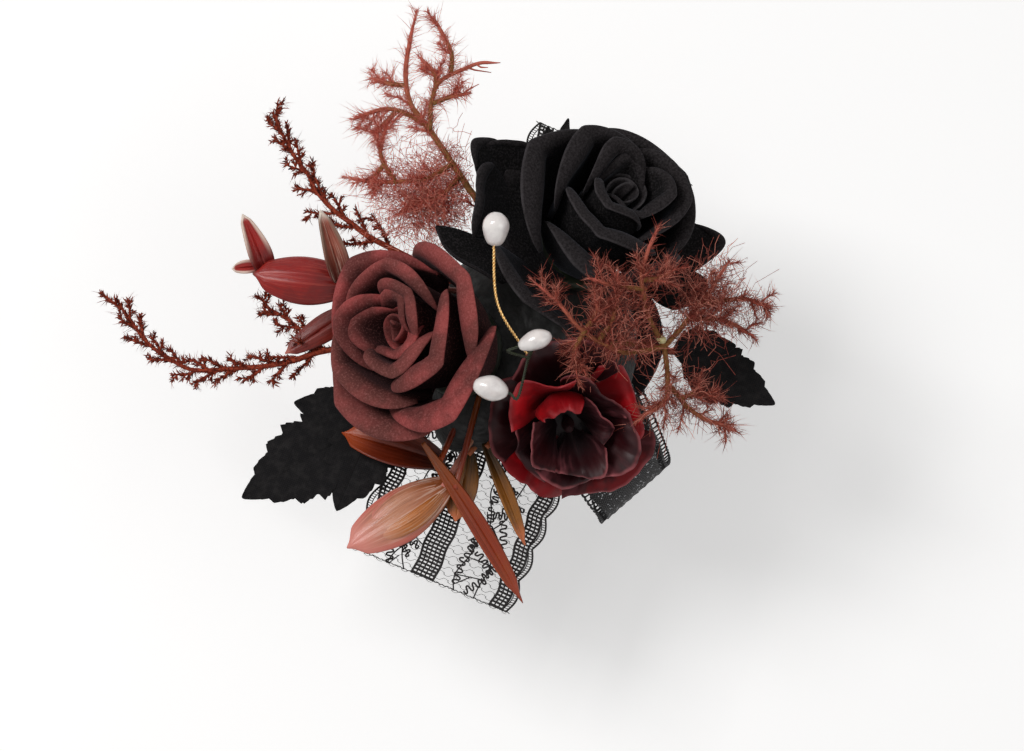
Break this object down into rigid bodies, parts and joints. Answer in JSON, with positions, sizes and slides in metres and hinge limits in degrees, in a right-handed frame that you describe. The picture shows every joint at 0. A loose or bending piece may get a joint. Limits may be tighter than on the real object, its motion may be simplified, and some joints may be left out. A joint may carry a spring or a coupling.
{
  "type": "wrist corsage",
  "caption": "Artificial wrist corsage: velvet, foam and silk blooms with pods, leaves, sprigs and pearls bound on a lace strip and a felt pad over a stretch wristband.",
  "frame": {"origin": "centre of the felt pad's underside, where it lies on the back of the wrist", "axes": "+Z out of the back of the wrist through the blooms, +X along the forearm towards the elbow, +Y across the wrist"},
  "size_m": [0.1496, 0.1472, 0.0917],
  "materials": {
    "felt": "matte black wool felt",
    "elastic": "black mesh elastic with a dotted edge",
    "lace": "black cotton lace with scalloped edges",
    "glue": "dark floral tape and hot glue",
    "velvet": "black velvet with a soft blue-grey sheen",
    "foam": "dusty marsala petal foam",
    "silk": "dark wine silk, brighter red on the upper petals",
    "calyx": "dark green moulded receptacle",
    "leaf": "matte black leaf fabric with veins",
    "pod": "glossy brown-red pod with pale tips",
    "pink_pod": "pink pod that turns orange-brown at its root",
    "rust": "rust-brown blade",
    "heather": "scaly red-brown heather",
    "smoke": "smoke sprig with fine pink-brown hairs",
    "wire": "twisted gold florist's wire",
    "pearl": "white pearl"
  },
  "bodies": {
    "corsage": {"backing_pad": "felt", "base_disc": "felt", "binding_mound": "glue", "black_rose_bud_roll": "velvet", "black_rose_calyx": "calyx", "black_rose_petal_guard_1": "velvet", "black_rose_petal_guard_2": "velvet", "black_rose_petal_inner_1": "velvet", "black_rose_petal_inner_2": "velvet", "black_rose_petal_inner_3": "velvet", "black_rose_petal_middle_1": "velvet", "black_rose_petal_middle_2": "velvet", "black_rose_petal_middle_3": "velvet", "black_rose_petal_outer_1": "velvet", "black_rose_petal_outer_2": "velvet", "black_rose_petal_outer_3": "velvet", "heather_twig_lower": "heather", "heather_twig_upper": "heather", "lace_strip": "lace", "leaf_spray_back": "leaf", "leaf_spray_left": "leaf", "leaf_spray_right": "leaf", "marsala_rose_bud_roll": "foam", "marsala_rose_calyx": "calyx", "marsala_rose_petal_inner_1": "foam", "marsala_rose_petal_inner_2": "foam", "marsala_rose_petal_inner_3": "foam", "marsala_rose_petal_middle_1": "foam", "marsala_rose_petal_middle_2": "foam", "marsala_rose_petal_middle_3": "foam", "marsala_rose_petal_outer_1": "foam", "marsala_rose_petal_outer_2": "foam", "marsala_rose_petal_outer_3": "foam", "marsala_rose_petal_outer_4": "foam", "pearl_left": "pearl", "pearl_right": "pearl", "pearl_spray_stem": "wire", "pod_left_boat": "pod", "pod_left_leaf": "rust", "pod_left_spike_far": "pod", "pod_left_spike_high": "pod", "pod_low_inner": "rust", "pod_low_leaf": "rust", "pod_low_pink": "pink_pod", "pod_low_spear_long": "rust", "pod_low_spear_short": "rust", "silk_flower_calyx": "calyx", "silk_flower_pip": "silk", "silk_flower_whorl_inner": "silk", "silk_flower_whorl_middle": "silk", "silk_flower_whorl_outer": "silk", "smoke_sprig_right": "smoke", "smoke_sprig_upper": "smoke", "wristband_side_a": "elastic", "wristband_side_b": "elastic", "wristband_top": "elastic"},
    "band_lower": {"wristband_bottom": "elastic"},
    "pearl_arm": {"pearl_spray_arm": "wire", "pearl_high": "pearl"}
  },
  "joints": [
    {"name": "band_stretch", "type": "slide", "parent": "corsage", "child": "band_lower", "axis": [0, 0, -1], "range_m": [0, 0.02], "stiffness_N_per_m": 100, "deforming": ["wristband_side_a", "wristband_side_b"]},
    {"name": "pearl_spray_bend", "type": "hinge", "parent": "corsage", "child": "pearl_arm", "pos_m": [-0.0086, -0.006, 0.037], "axis": [0.9906, -0.137, 0], "range_deg": [0, 20]}
  ]
}
